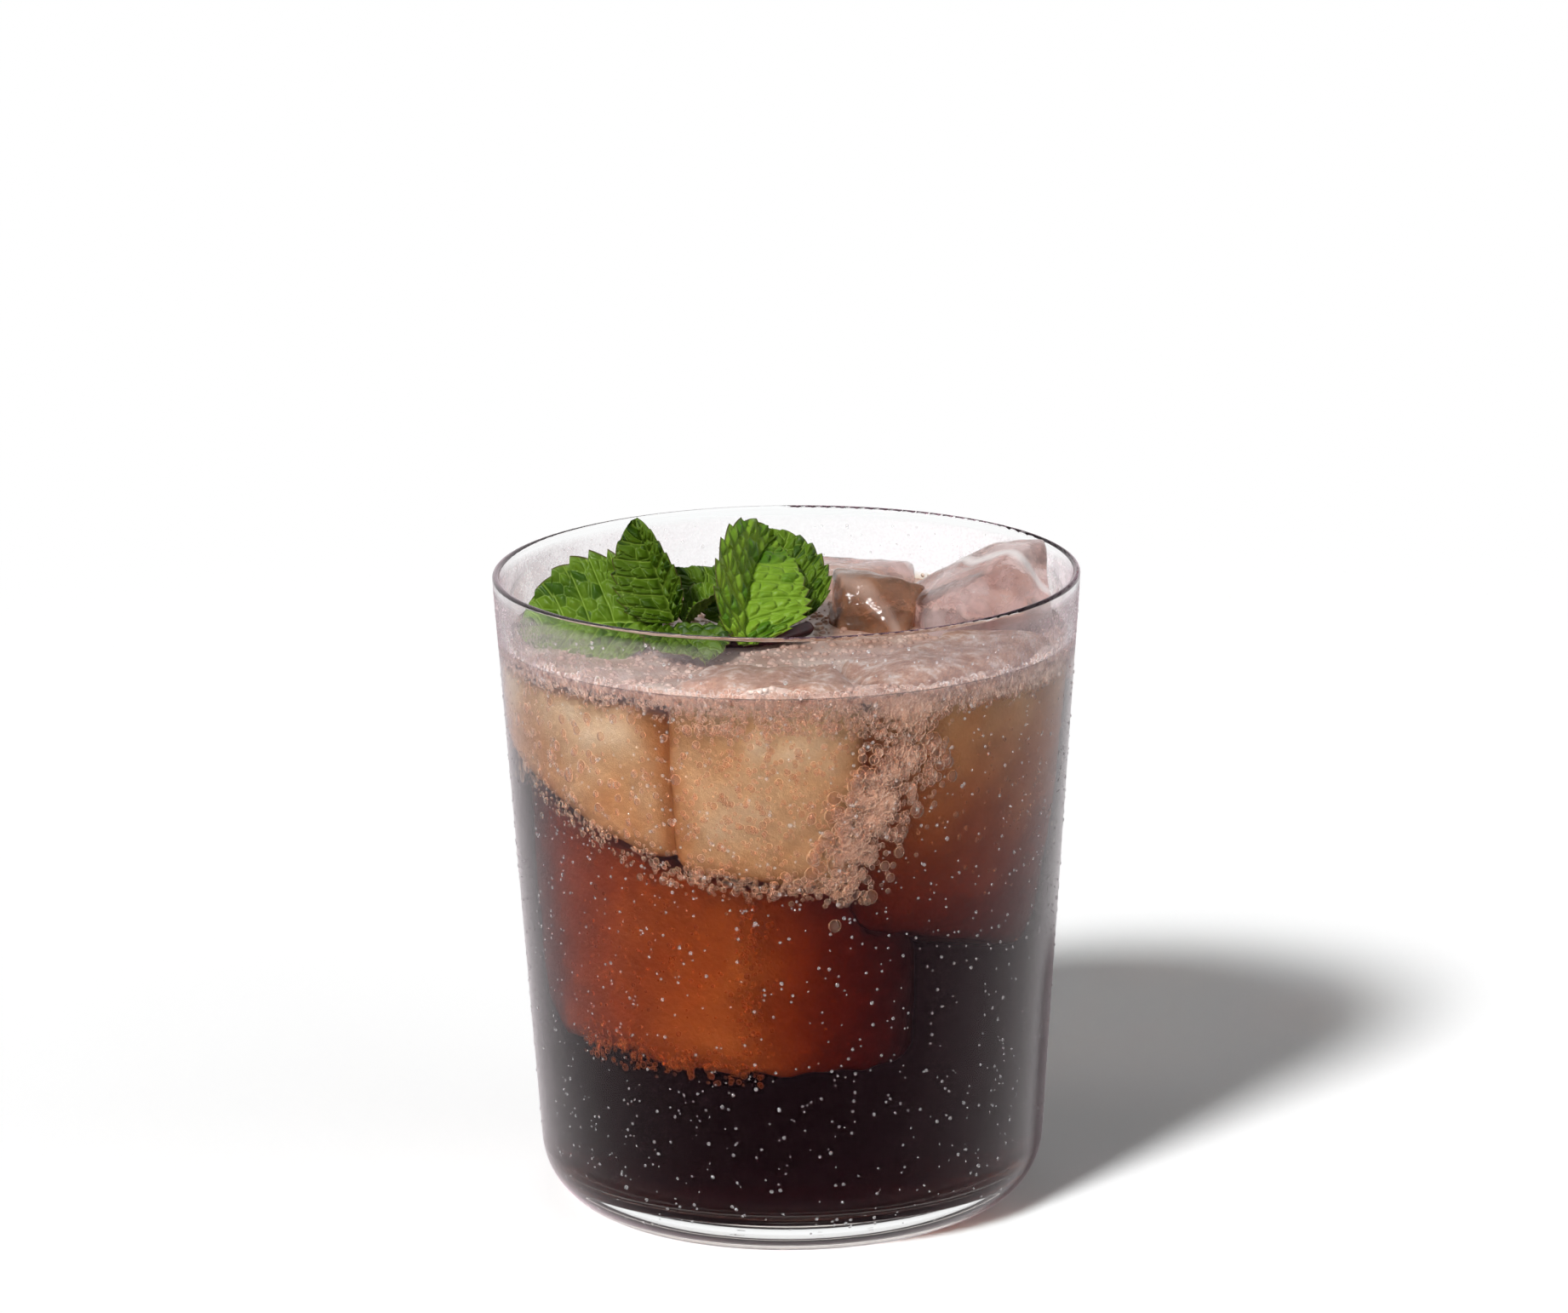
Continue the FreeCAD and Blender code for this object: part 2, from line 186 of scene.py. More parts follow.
def make_ice_material(name, below, above, clear, shade, mirror, cracked, froth, glow):
    """Bar ice: a clear skin over cloudy white, stained by froth above the drink. below and above
    are its colours under and over the surface, clear how much passes, shade the tint of its shadow,
    mirror its reflection, which all but goes in the drink, cracked how white its cracks are, froth
    how thickly froth caps it above the drink, and glow how much light it carries about inside."""
    made, tree, output = material(name)
    place = add(tree, "ShaderNodeTexCoord").outputs["Object"]
    height = add(tree, "ShaderNodeSeparateXYZ", inputs={"Vector": place}).outputs["Z"]
    dry = add(tree, "ShaderNodeMapRange", inputs={
        "Value": height, "From Min": (LEVEL - 0.5) * MM, "From Max": (LEVEL + 0.6) * MM}).outputs[0]
    cloud, fine = noise(tree, 7.0, detail=4.0), noise(tree, 1.2, detail=3.0)
    bands = add(tree, "ShaderNodeTexWave", {"bands_direction": "DIAGONAL"}, {
        "Vector": place, "Scale": 1 / (55 * MM), "Distortion": 7.0, "Detail": 3.0,
        "Detail Scale": 1.4}).outputs["Fac"]
    crack = ramp(tree, bands, [(0.0, cracked), (0.02, cracked * 0.6), (0.05, 0.0)])
    foam = ramp(tree, noise(tree, 2.2, detail=6.0, roughness=0.7), [
        (0.35, "#8a5c46"), (0.5, "#b48a76"), (0.62, "#dcc6bc")])
    top = mixed(tree, froth, linear(above), foam)
    stained = mixed(tree, dry, linear(below), top)
    base = mixed(tree, crack, stained, linear("#fbf3f1"))
    whole = reckoned(tree, "SUBTRACT", 1.0, crack)
    clouded = ramp(tree, cloud, [(0.38, clear * 0.4), (0.62, clear)])
    wetter = reckoned(tree, "MULTIPLY_ADD", dry, 0.25 - 0.5 * froth, clouded)
    passes = reckoned(tree, "MULTIPLY", wetter, whole)
    dull = add(tree, "ShaderNodeMapRange", inputs={
        "Value": dry, "To Min": 0.10, "To Max": 0.10 + 0.5 * froth}).outputs[0]
    bump = add(tree, "ShaderNodeBump", inputs={
        "Strength": 0.5, "Distance": (0.35 + 0.3 * froth) * MM, "Height": fine})
    surface = add(tree, "ShaderNodeBsdfPrincipled", inputs={
        "Base Color": base, "Roughness": dull, "IOR": 1.31, "Transmission Weight": passes,
        "Specular Tint": grey(mirror), "Normal": bump.outputs[0],
        "Subsurface Weight": glow, "Subsurface Radius": (1.0, 0.95, 0.9), "Subsurface Scale": 9 * MM,
    })
    tree.links.new(lets_light_through(tree, surface.outputs[0], shade), output.inputs["Surface"])
    return made


# ---------------------------------------------------------------- meshes from whole arrays
def mesh_piece(name, points, faces, finish, smooth=True):
    """An object at the origin from points in millimetres and lists of faces."""
    mesh = bpy.data.meshes.new(name)
    mesh.from_pydata((np.asarray(points) * MM).tolist(), [], faces)
    if smooth:
        mesh.shade_smooth()
    else:
        mesh.shade_flat()
    mesh.materials.append(finish)
    piece = bpy.data.objects.new(name, mesh)
    bpy.context.scene.collection.objects.link(piece)
    return piece


def mark(piece, label, values):
    """Give a piece a number at each of its points, for its material to read by label."""
    layer = piece.data.attributes.new(label, "FLOAT", "POINT")
    layer.data.foreach_set("value", values.astype(np.float32))


def grid_faces(rows, columns, wrapped):
    """Quads between neighbouring points of a grid, numbered row by row; wrapped joins the last
    column to the first. They face outwards where the columns run anticlockwise seen from the
    last row."""
    across = columns if wrapped else columns - 1
    row, column = np.meshgrid(np.arange(rows - 1), np.arange(across), indexing="ij")
    here, there = row * columns + column, row * columns + (column + 1) % columns
    return np.stack([here, there, there + columns, here + columns], -1).reshape(-1, 4)


def capped(rings):
    """Points and faces of a closed skin through rings of points, (rings, points, 3): quads between
    the rings, and a fan from the middle of the first and of the last ring."""
    count, size = rings.shape[:2]
    points = np.concatenate([rings.reshape(-1, 3), rings[:1].mean(1), rings[-1:].mean(1)])
    near = np.arange(size)
    after = (near + 1) % size
    last = (count - 1) * size
    first_fan = np.stack([np.full(size, count * size), after, near], -1)
    last_fan = np.stack([np.full(size, count * size + 1), last + near, last + after], -1)
    return points, (grid_faces(count, size, True).tolist() + first_fan.tolist() + last_fan.tolist())


def turned(outline, segments):
    """Rings of an outline (radius, height) turned about Z."""
    angle = np.linspace(0, 2 * np.pi, segments, endpoint=False)
    radius, height = outline[:, :1], outline[:, 1:]
    return np.stack(np.broadcast_arrays(radius * np.cos(angle), radius * np.sin(angle), height), -1)


def waves(points, size_mm, seed, count=14):
    """Smooth uneven lumps about size_mm across: the mean of sine waves in seeded directions, scaled
    by the root of their count so that their spread stays about a half."""
    rng = np.random.default_rng(seed)
    direction = rng.normal(size=(count, 3))
    direction /= np.linalg.norm(direction, axis=1)[:, None]
    pitch = size_mm * 2 * rng.uniform(0.7, 1.5, count)
    phase = rng.uniform(0, 2 * np.pi, count)
    return np.sin(2 * np.pi * (points @ direction.T) / pitch + phase).mean(-1) * math.sqrt(count) / 1.4


# ---------------------------------------------------------------- the drink
def drink_rings():
    """The filled inside of the glass: a flat bottom, an arc up to the wall, the wall line, a
    meniscus that climbs it, and the surface, which dips and swells a little."""
    bottom = FLOOR_THICK - INTO_WALL
    bend = FLOOR_ROUND + INTO_WALL
    wall_foot = inner_radius(FLOOR_THICK + FLOOR_ROUND) + INTO_WALL
    turn = np.linspace(0, np.pi / 2, 14)
    floor = np.stack([np.linspace(2, wall_foot - bend, 12, endpoint=False), np.full(12, bottom)], -1)
    arc = np.stack([wall_foot - bend + bend * np.sin(turn), bottom + bend * (1 - np.cos(turn))], -1)
    climb, fade = 1.1, 0.8
    height = np.linspace(FLOOR_THICK + FLOOR_ROUND, LEVEL + climb, 60)[1:]
    wall = np.stack([inner_radius(height) + INTO_WALL, height], -1)
    out = np.linspace(0, 1, 60)[1:-1]
    radius = (inner_radius(LEVEL) + INTO_WALL) * (1 - out) ** 1.2
    gap = inner_radius(LEVEL) - radius
    top = np.stack([radius, LEVEL + climb * np.exp(-np.maximum(gap, 0) / fade)], -1)
    outline = np.concatenate([floor, arc, wall, top])
    rings = turned(outline, 256)
    swell = 0.12 * waves(rings.reshape(-1, 3), 7.0, 3).reshape(rings.shape[:2])
    rings[-len(top):, :, 2] += swell[-len(top):]
    return rings


# ---------------------------------------------------------------- ice
def directions(rows, columns):
    """Unit directions on rings of latitude, both poles left out."""
    up = np.linspace(-np.pi / 2, np.pi / 2, rows + 2)[1:-1, None]
    across = np.linspace(0, 2 * np.pi, columns, endpoint=False)[None]
    parts = np.broadcast_arrays(np.cos(up) * np.cos(across), np.cos(up) * np.sin(across), np.sin(up))
    return np.stack(parts, -1)


def facet(bearing, rise, distance):
    """A plane of a lump: its normal's bearing round Z and rise above level, and its distance."""
    bearing, rise = math.radians(bearing), math.radians(rise)
    return (math.cos(rise) * math.cos(bearing) / distance, math.cos(rise) * math.sin(bearing) / distance,
            math.sin(rise) / distance)


def lump(facets, place, seed, sharp=11.0, rough=0.35, fine=0.10, rows=72, columns=110):
    """Rings of a lump of ice: every direction d is carried out to the distance r where the sum of
    (n . d / h)^sharp over its planes n at h is r^-sharp, so that flat faces meet in soft edges;
    then it wanders by waves."""
    unit = directions(rows, columns)
    over = np.clip(unit @ np.array(facets).T, 0, None)
    points = unit * ((over ** sharp).sum(-1) ** (-1 / sharp))[..., None]
    flat = points.reshape(-1, 3)
    wander = rough * waves(flat, 5.0, seed) + fine * waves(flat, 1.5, seed + 1)
    return points + unit * wander.reshape(points.shape[:2])[..., None] + np.array(place)


def kept_inside(rings, gap):
    """Rings with every point drawn in to lie at least gap from the glass wall."""
    room = inner_radius(rings[..., 2]) - gap
    across = np.hypot(rings[..., 0], rings[..., 1])
    shrink = np.minimum(1.0, room / np.maximum(across, 1e-6))
    return rings * np.stack([shrink, shrink, np.ones_like(shrink)], -1)


def wall_lump(bearings, heights, gap, thick, seed, lean=0.0, top=None, ragged=0.5):
    """Rings of a lump of ice that lies along the wall: a rounded block (sum of |x|^n = 1 with
    n = corner) bent round the glass. x runs over the bearings, z over the heights, and y from the
    front, gap(x, z) behind the wall, to thick behind that. lean times x lifts its bottom, top(x)
    its top, and ragged is how far both wander up and down."""
    corner, rough, finer, finest = 10.0, 0.35, 0.20, 0.06
    arc, reach = 38.0, 40.0     # about how far a radian of bearing spans, and the wall from the axis
    unit = directions(90, 132)
    x, y, z = np.moveaxis(unit * ((np.abs(unit) ** corner).sum(-1) ** (-1 / corner))[..., None], -1, 0)
    bearing = np.radians(bearings[0] + (bearings[1] - bearings[0]) * (x + 1) / 2)
    low, high = heights[0] + lean * x, heights[1] + (top(x) if top else 0 * x)
    rugged = waves(np.stack([bearing * arc, y * 6, z * 12], -1).reshape(-1, 3), 4.0, seed + 5)
    height = low + (high - low) * (z + 1) / 2 + ragged * rugged.reshape(x.shape) * np.abs(z)
    radius = inner_radius(height) - gap(x, z) - thick * (y + 1) / 2
    points = np.stack([radius * np.cos(bearing), radius * np.sin(bearing), height], -1)
    flat = points.reshape(-1, 3)
    wander = rough * waves(flat, 6.0, seed) + finer * waves(flat, 2.5, seed + 1)
    wander = (wander + finest * waves(flat, 1.0, seed + 2)).reshape(x.shape)
    return points * (1 - np.stack([wander, wander, 0 * wander], -1) / reach)


def box_facets(size, turn):
    """Six planes of a block: deep along its bearing, wide across it, high."""
    wide, deep, high = size
    return [facet(turn, 0, deep / 2), facet(turn + 180, 0, deep / 2), facet(turn + 90, 0, wide / 2),
            facet(turn - 90, 0, wide / 2), facet(0, 90, high / 2), facet(0, -90, high / 2)]


def middle_gap(x, z):
    """The chunk in the middle lies close along the wall, a little deeper at its top and bottom,
    and most at its left."""
    return 0.9 + 0.25 * z ** 2 + 0.25 * x + 0.8 * np.clip(-x - 0.1, 0, 1)


def right_gap(x, z):
    """The block at the right stands off the wall further the deeper it goes, and at both sides."""
    return 1.5 + 1.5 * (1 - z) ** 2 + 0.3 * x ** 2


def left_gap(x, z):
    """The block at the left lies close along the wall, and falls back at its right end, so that a
    darker stripe shows there, which leans as the block does."""
    return 0.75 + 0.25 * (1 - z) + 1.1 * np.clip((x - 0.80 + 0.10 * z) * 5, 0, 1)


def low_gap(x, z):
    """The low block has an edge towards the front, from which its right side falls back fast, its
    right end faster still, and its left side slowly. Its left end lies a step deeper."""
    edge, end = 0.15, 0.70
    left = 0.7 * np.clip(edge - x, 0, 1.1)
    right = 10.0 * np.clip(x - edge, 0, 1)
    right_end = 8.0 * np.clip(x - end, 0, 1)
    left_end = 0.9 * np.clip((-x - end) * 7, 0, 1)
    return 3.8 + left + right + right_end + left_end + 0.2 * (z + 1)


def low_top(x):
    """The low block's top follows the feet of the ice above it, with a step down at the right."""
    return np.interp(x, [-1.0, -0.10, 0.50, 0.60, 1.0], [11.0, 1.0, -1.6, -7.6, -12.0])


def ice_shapes():
    """Each piece of ice by name: those of the solid model, which stand out of the drink, then
    those that lie wholly under its surface."""
    middle = {name: sum(np.array(corner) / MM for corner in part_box(name)) / 2
              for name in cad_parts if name.startswith("ice")}
    right = box_facets((17.5, 20, 18), 10) + [
        facet(190, 60, 6.0), facet(100, 40, 8.5), facet(-80, 50, 9.0), facet(-35, 22, 9.2),
        facet(230, 20, 8.8)]
    brown = box_facets((12, 13.5, 14), -20) + [
        facet(250, 35, 6.2), facet(60, 50, 6.3), facet(300, 40, 6.4), facet(200, 15, 6.5)]
    back = box_facets((20, 13, 12), 75) + [facet(200, 45, 7.0), facet(310, 40, 7.5)]
    shapes = {
        "ice_right": lump(right, middle["ice_right"], 11, sharp=26.0, rough=0.30),
        "ice_middle": lump(brown, middle["ice_middle"], 13, sharp=18.0, rough=0.45, fine=0.18),
        "ice_back": lump(back, middle["ice_back"], 17, sharp=22.0),
        "ice_front_middle": wall_lump((-115.8, -74), (57.8, 87.2), middle_gap, 15, 19, lean=-1.5),
        "ice_front_right": wall_lump((-74.2, -9), (45, 87.6), right_gap, 16, 23, lean=-4.5),
        "sunk_ice_left": wall_lump((-176, -114.6), (66, 83.4), left_gap, 15, 29, lean=-6.5,
                                   ragged=0.35),
        "sunk_ice_low": wall_lump((-172, -45), (28.5, 57), low_gap, 12, 31, lean=-1.2, top=low_top,
                                  ragged=0.7),
    }
    return {name: kept_inside(rings, 0.5) for name, rings in shapes.items()}


# ---------------------------------------------------------------- mint
STEM_RADIUS, STEM_SINK, TIP_GAP = 1.1, 0.3, 3.2
STEM_RISE, STEM_FORK = 1.2, 0.6
LEAF_TEETH, LEAF_TOOTH = 8, 0.12
LEAF_ROWS, LEAF_HALF_COLUMNS = 170, 54
LEAF_THICK = 0.35
SIDE_VEINS = 6

# As in the solid model, but for the tall leaf's fold: length, breadth; stem node, shift from it;
# axis, face; curl, sweep, fold in degrees. Then the looks: how far the margin waves in mm, and how
# light the leaf's greens are, which is its own tone together with painted light and shade: leaves
# that lie in shade are painted darker, the tall leaf that catches the light is painted lightest.
LEAVES = {
    "mint_leaf_left": ((21.3, 22.5), "end", (-1.2, -0.6, 1.8), (-1.0, 0.05, 0.0), (0.0, -0.74, 0.70),
                       (12, 0, 22), 0.5, 0.45),
    "mint_leaf_upright": ((16.0, 14.5), "end", (0.6, -1.2, 2.0), (-0.36, 0.25, 1.0), (-0.55, -1.0, 0.2),
                          (-6, 0, 38), 0.4, 0.20),
    "mint_leaf_behind": ((18.0, 11.0), "fork", (-1.0, 1.6, 1.0), (-0.85, 0.42, 0.42), (0.45, -0.85, 0.6),
                         (6, 0, 10), 0.4, 0.30),
    "mint_leaf_inner": ((8.0, 8.0), "end", (1.9, -0.6, 1.5), (0.85, 0.1, 0.75), (-0.6, -0.25, 0.7),
                        (0, 0, 35), 0.3, 0.55),
    "mint_leaf_front": ((14.5, 14.0), "end", (0.3, -2.0, 1.0), (0.30, -0.85, 0.0), (0.0, -0.15, 1.0),
                        (12, 0, 8), 0.5, 0.25),
    "mint_leaf_tall": ((21.5, 20.0), "bend", (0.9, -1.7, 0.6), (-0.10, 0.50, 1.0), (0.70, -1.0, 0.4),
                       (25, 58, 26), 0.5, 1.00),
    "mint_leaf_right": ((15.5, 13.0), "tip", (0.0, 1.2, 1.6), (-0.48, 0.45, 0.8), (0.45, -1.0, 0.35),
                        (10, 0, 10), 0.4, 0.40),
}


def stem_nodes():
    """The stem's end under the left leaf, its bend, its cut tip, and the fork between those two."""
    height = LEVEL + STEM_RADIUS - STEM_SINK + STEM_RISE
    reach = inner_radius(height) - TIP_GAP - LEAVES["mint_leaf_left"][0][0]
    end = np.array([-reach, -5.0, height])
    bend = end + np.array([10.0, -4.5, -STEM_RISE])
    tip = bend + np.array([10.3, 7.0, STEM_RISE])
    return {"end": end, "bend": bend, "tip": tip, "fork": bend + (tip - bend) * STEM_FORK}


def cells(u, v, seed):
    """Worley cells on a plane with one point in each unit square: how far each place is from its
    cell's border, and a number for the cell."""
    rng = np.random.default_rng(seed)
    jitter = rng.uniform(0.15, 0.85, (64, 64, 2))
    tone = rng.uniform(0, 1, (64, 64))
    column, row = np.floor(u).astype(int), np.floor(v).astype(int)
    nearest, second, number = np.full(u.shape, 9.0), np.full(u.shape, 9.0), np.zeros(u.shape)
    for i in (-1, 0, 1):
        for j in (-1, 0, 1):
            at = jitter[(column + i) % 64, (row + j) % 64]
            away = np.hypot(column + i + at[..., 0] - u, row + j + at[..., 1] - v)
            closer = away < nearest
            second = np.where(closer, nearest, np.minimum(second, away))
            number = np.where(closer, tone[(column + i) % 64, (row + j) % 64], number)
            nearest = np.where(closer, away, nearest)
    return second - nearest, number


def leaf_spine(s, length, curl, sweep):
    """The midrib of a leaf along s, 0 at its foot and 1 at its tip: an arc bent back by curl and
    sideways by sweep. Also the directions across the leaf and up from it at each place."""
    back, side = curl * s, sweep * s
    zero = np.zeros_like(s)
    along = np.concatenate([np.cos(back) * np.cos(side), -np.cos(back) * np.sin(side), -np.sin(back)], -1)
    across = np.concatenate([np.sin(side), np.cos(side), zero], -1)
    steps = np.concatenate([np.zeros((1, 3)), (along[1:] + along[:-1]) / 2 * length / (LEAF_ROWS - 1)])
    return steps.cumsum(0), across, np.cross(along, across)


def leaf_rings(name, seed):
    """Rings of a leaf from foot to tip, each its under side and back along its upper side. Each
    half runs out from the midrib, lifted by fold, to an egg-shaped saw-toothed margin that waves.
    Between the midrib, side veins that curve forward and a net of small veins, the blade swells
    into pillows. Also the masks of the veins, of the pillows' tones, of the margin and of the under
    side, in the rings' order."""
    (length, broad), _, _, _, _, bends, wave, _ = LEAVES[name]
    curl, sweep, fold = np.radians(bends)
    s = np.linspace(0, 1, LEAF_ROWS)[:, None]
    t = np.linspace(-1, 1, 2 * LEAF_HALF_COLUMNS + 1)[None]
    spine, across, upward = leaf_spine(s, length, curl, sweep)
    egg = np.sin(np.pi * np.clip(s, 0.01, 0.99) ** 0.8) ** 0.65
    saw = (s * LEAF_TEETH) % 1.0
    half = broad / 2 * egg * (1 - LEAF_TOOTH * (1 - saw))
    out = np.abs(t)
    phase = (s - 0.24 * out ** 1.25 * (1.05 - 0.5 * s)) * SIDE_VEINS + np.where(t > 0, 0.5, 0.0)
    spacing = length / SIDE_VEINS * 0.8
    vein_wide, midrib_wide, net_wide = 0.14, 0.30, 0.09      # in mm, mm and cells
    side_vein = np.exp(-(np.abs(phase - np.round(phase)) * spacing / vein_wide) ** 2) * (out > 0.015)
    midrib = np.exp(-(out * half / (midrib_wide * (1.15 - s))) ** 2)
    cells_a_vein, cell_long, other_half = 1.7, 1.9, 20
    border, tone = cells(phase * cells_a_vein, out * half / cell_long + other_half * (t > 0), seed)
    net = np.exp(-(border / net_wide) ** 2)
    pillow = np.clip(border * 1.6, 0, 1) ** 0.7 * np.clip(np.abs(phase - np.round(phase)) * 3.2, 0, 1)
    swell, vein_deep, midrib_deep = 0.70, 0.30, 0.35         # in mm
    height = swell * pillow * (1 - midrib) - vein_deep * side_vein - midrib_deep * midrib
    height = height * np.clip((1 - out) * 7, 0, 1) + wave * out ** 2 * np.sin(9 * s + 2.2 * t + seed)
    lift = half * out * np.sin(fold) + height
    middle = (spine[:, None] + across[:, None] * (half * t * np.cos(fold))[..., None]
              + upward[:, None] * lift[..., None])
    thick = LEAF_THICK * np.clip(1.2 - out, 0.25, 1)[..., None] * np.ones_like(s)[..., None]
    upper = middle + upward[:, None] * thick / 2
    lower = middle - upward[:, None] * thick / 2
    rings = np.concatenate([lower, upper[:, ::-1]], 1)
    veins = np.maximum(np.maximum(side_vein * 0.9, midrib), net * 0.62)
    margin = np.clip((out - 0.965) / 0.03, 0, 1) * np.ones_like(s)
    masks = [np.concatenate([mask, mask[:, ::-1]], 1) for mask in (veins, tone, margin)]
    under = np.concatenate([np.ones_like(veins), np.zeros_like(veins)], 1)
    return rings, masks + [under]


def make_leaf(name, seed, nodes, finish):
    """A leaf carried to its node of the stem and turned so that its midrib follows its axis."""
    _, node, shift, axis, face, _, _, tone_and_painted_light = LEAVES[name]
    rings, masks = leaf_rings(name, seed)
    axis = np.array(axis) / np.linalg.norm(axis)
    face = np.array(face) - axis * np.dot(face, axis)
    face /= np.linalg.norm(face)
    turn = np.stack([axis, np.cross(face, axis), face])
    points, faces = capped(rings @ turn + nodes[node] + np.array(shift))
    piece = mesh_piece(name + "_blade", points, faces, finish)
    for label, mask in zip(("veins", "tone", "margin", "under"), masks):
        ends = [mask[0].mean(keepdims=True), mask[-1].mean(keepdims=True)]
        mark(piece, label, np.concatenate([mask.ravel(), *ends]))
    # one value for the whole leaf: its own tone and painted light and shade
    mark(piece, "tone_and_painted_light", np.full(len(points), tone_and_painted_light))
    return piece


def make_leaf_material():
    """Spearmint: quilted, waxy green with paler veins, pale underneath, a brown-purple margin. Each
    leaf's greens are set by its own tone and by painted light and shade.
    """
    made, tree, output = material("spearmint_leaf")
    tone_and_painted_light, veins = marked(tree, "tone_and_painted_light"), marked(tree, "veins")
    patch = noise(tree, 3.0, detail=3.0)
    # painted light and shade: each leaf's dark and light greens go darker for leaves that lie in shade
    dark = mixed(tree, tone_and_painted_light, linear("#182f00"), linear("#4a7410"))
    light = mixed(tree, tone_and_painted_light, linear("#375200"), linear("#7fa42c"))
    tone = reckoned(tree, "ADD", patch, marked(tree, "tone"))
    blade = mixed(tree, ramp(tree, tone, [(0.55, 0.0), (1.0, 1.0)]), dark, light)
    veined = mixed(tree, ramp(tree, veins, [(0.25, 0.0), (0.95, 0.6)]), blade, linear("#9ab64c"))
    edged = mixed(tree, marked(tree, "margin"), veined, linear("#4c3326"))
    paler = reckoned(tree, "MULTIPLY", marked(tree, "under"), 0.55)
    below = mixed(tree, paler, edged, linear("#8fa850"))
    grain = noise(tree, 0.35, detail=2.0)
    bump = add(tree, "ShaderNodeBump", inputs={"Strength": 0.35, "Distance": 0.1 * MM, "Height": grain})
    surface = add(tree, "ShaderNodeBsdfPrincipled", inputs={
        "Base Color": below, "Roughness": ramp(tree, patch, [(0.3, 0.34), (0.7, 0.5)]), "IOR": 1.45,
        "Specular IOR Level": 0.25, "Normal": bump.outputs[0]})
    tree.links.new(surface.outputs[0], output.inputs["Surface"])
    return made


def make_stem(nodes, finish):
    """A round stem carried along its end, bend and tip, rounded at the bend, a little ribbed."""
    share = np.linspace(0, 1, 60)[:, None]
    end, bend, tip = nodes["end"], nodes["bend"], nodes["tip"]
    knee = bend * 1.5 - (end + tip) / 4
    line = (1 - share) ** 2 * end + 2 * share * (1 - share) * knee + share ** 2 * tip
    tangent = np.gradient(line, axis=0)
    tangent /= np.linalg.norm(tangent, axis=1)[:, None]
    side = np.cross(tangent, [0, 0, 1.0])
    side /= np.linalg.norm(side, axis=1)[:, None]
    under = np.cross(tangent, side)
    angle = np.linspace(0, 2 * np.pi, 28, endpoint=False)[None, :, None]
    thick = STEM_RADIUS * (0.92 + 0.06 * np.cos(4 * angle) - 0.25 * (share[:, :, None] > 0.985))
    rings = line[:, None] + thick * (side[:, None] * np.cos(angle) + under[:, None] * np.sin(angle))
    return mesh_piece("mint_stem_bark", *capped(rings), finish)


def make_stem_material():
    """Mint stem: dark maroon skin, a little glossy, paler green-brown in patches."""
    made, tree, output = material("mint_stem_skin")
    patch = noise(tree, 2.0, detail=3.0)
    surface = add(tree, "ShaderNodeBsdfPrincipled", inputs={
        "Base Color": ramp(tree, patch, [(0.35, "#2c0a14"), (0.6, "#431019"), (0.8, "#6b3a22")]),
        "Roughness": 0.4, "IOR": 1.45})
    tree.links.new(surface.outputs[0], output.inputs["Surface"])
    return made


# ---------------------------------------------------------------- bubbles, froth and droplets
def ball(rows, columns):
    """Points and faces of a unit ball: rings of latitude with a point at each pole."""
    points, faces = capped(directions(rows, columns))
    points[-2], points[-1] = (0, 0, -1), (0, 0, 1)
    return points, faces


BEAD = ball(4, 7)             # 35 faces, for every bubble and droplet


def scattered(name, shape, centres, sizes, finish):
    """One mesh of many copies of a shape; sizes is a 3 by 3 frame for each, its rows the copy's
    x, y and z in millimetres."""
    points, faces = shape
    spread = centres[:, None] + np.einsum("pk,nkj->npj", points, sizes)
    quads = np.array([face for face in faces if len(face) == 4])
    fans = np.array([face for face in faces if len(face) == 3])
    starts = (np.arange(len(centres)) * len(points))[:, None, None]
    every = (quads[None] + starts).reshape(-1, 4).tolist() + (fans[None] + starts).reshape(-1, 3).tolist()
    return mesh_piece(name, spread.reshape(-1, 3), every, finish)


def round_frames(radii):
    """Frames of round copies."""
    return np.eye(3)[None] * radii[:, None, None]


def wall_frames(bearing, radii, flat):
    """Frames of copies that sit on the wall: flat along the radius, round along the wall."""
    zero = np.zeros_like(bearing)
    outward = np.stack([np.cos(bearing), np.sin(bearing), zero], -1)
    along = np.stack([-np.sin(bearing), np.cos(bearing), zero], -1)
    up = np.stack([zero, zero, zero + 1], -1)
    return np.stack([outward * flat, along, up], 1) * radii[:, None, None]


def make_bubble_material():
    """A gas bubble in the drink: clear in its middle, with a pale ring where its wall turns away, a
    painted reflection: a pale colour there stands in for the light that the wall mirrors."""
    made, tree, output = material("gas_bubble")
    # painted reflection: less clear, and so showing its pale colour, as the wall turns away
    middle = ramp(tree, add(tree, "ShaderNodeLayerWeight", inputs={"Blend": 0.5}).outputs["Facing"],
                  [(0.3, 0.95), (0.7, 0.4), (1.0, 0.1)])
    # the pale base colour is the painted reflection at the bubble's rim
    surface = add(tree, "ShaderNodeBsdfPrincipled", inputs={
        "Base Color": linear("#f3e2d8"), "Roughness": 0.05, "IOR": 0.8, "Transmission Weight": middle})
    tree.links.new(lets_light_through(tree, surface.outputs[0], "#e0e0e0"), output.inputs["Surface"])
    return made


def make_froth_material():
    """Coffee froth: tiny bubbles with a rosy tan skin of coffee, silky rather than shiny."""
    made, tree, output = material("coffee_froth")
    tone, fine = noise(tree, 5.0, detail=5.0), noise(tree, 0.5, detail=2.0)
    bump = add(tree, "ShaderNodeBump", inputs={"Strength": 0.6, "Distance": 0.15 * MM, "Height": fine})
    surface = add(tree, "ShaderNodeBsdfPrincipled", inputs={
        "Base Color": ramp(tree, tone, [(0.3, "#a88170"), (0.5, "#c6a495"), (0.7, "#dec9bd")]),
        "Roughness": 0.35, "IOR": 1.33, "Normal": bump.outputs[0]})
    tree.links.new(surface.outputs[0], output.inputs["Surface"])
    return made


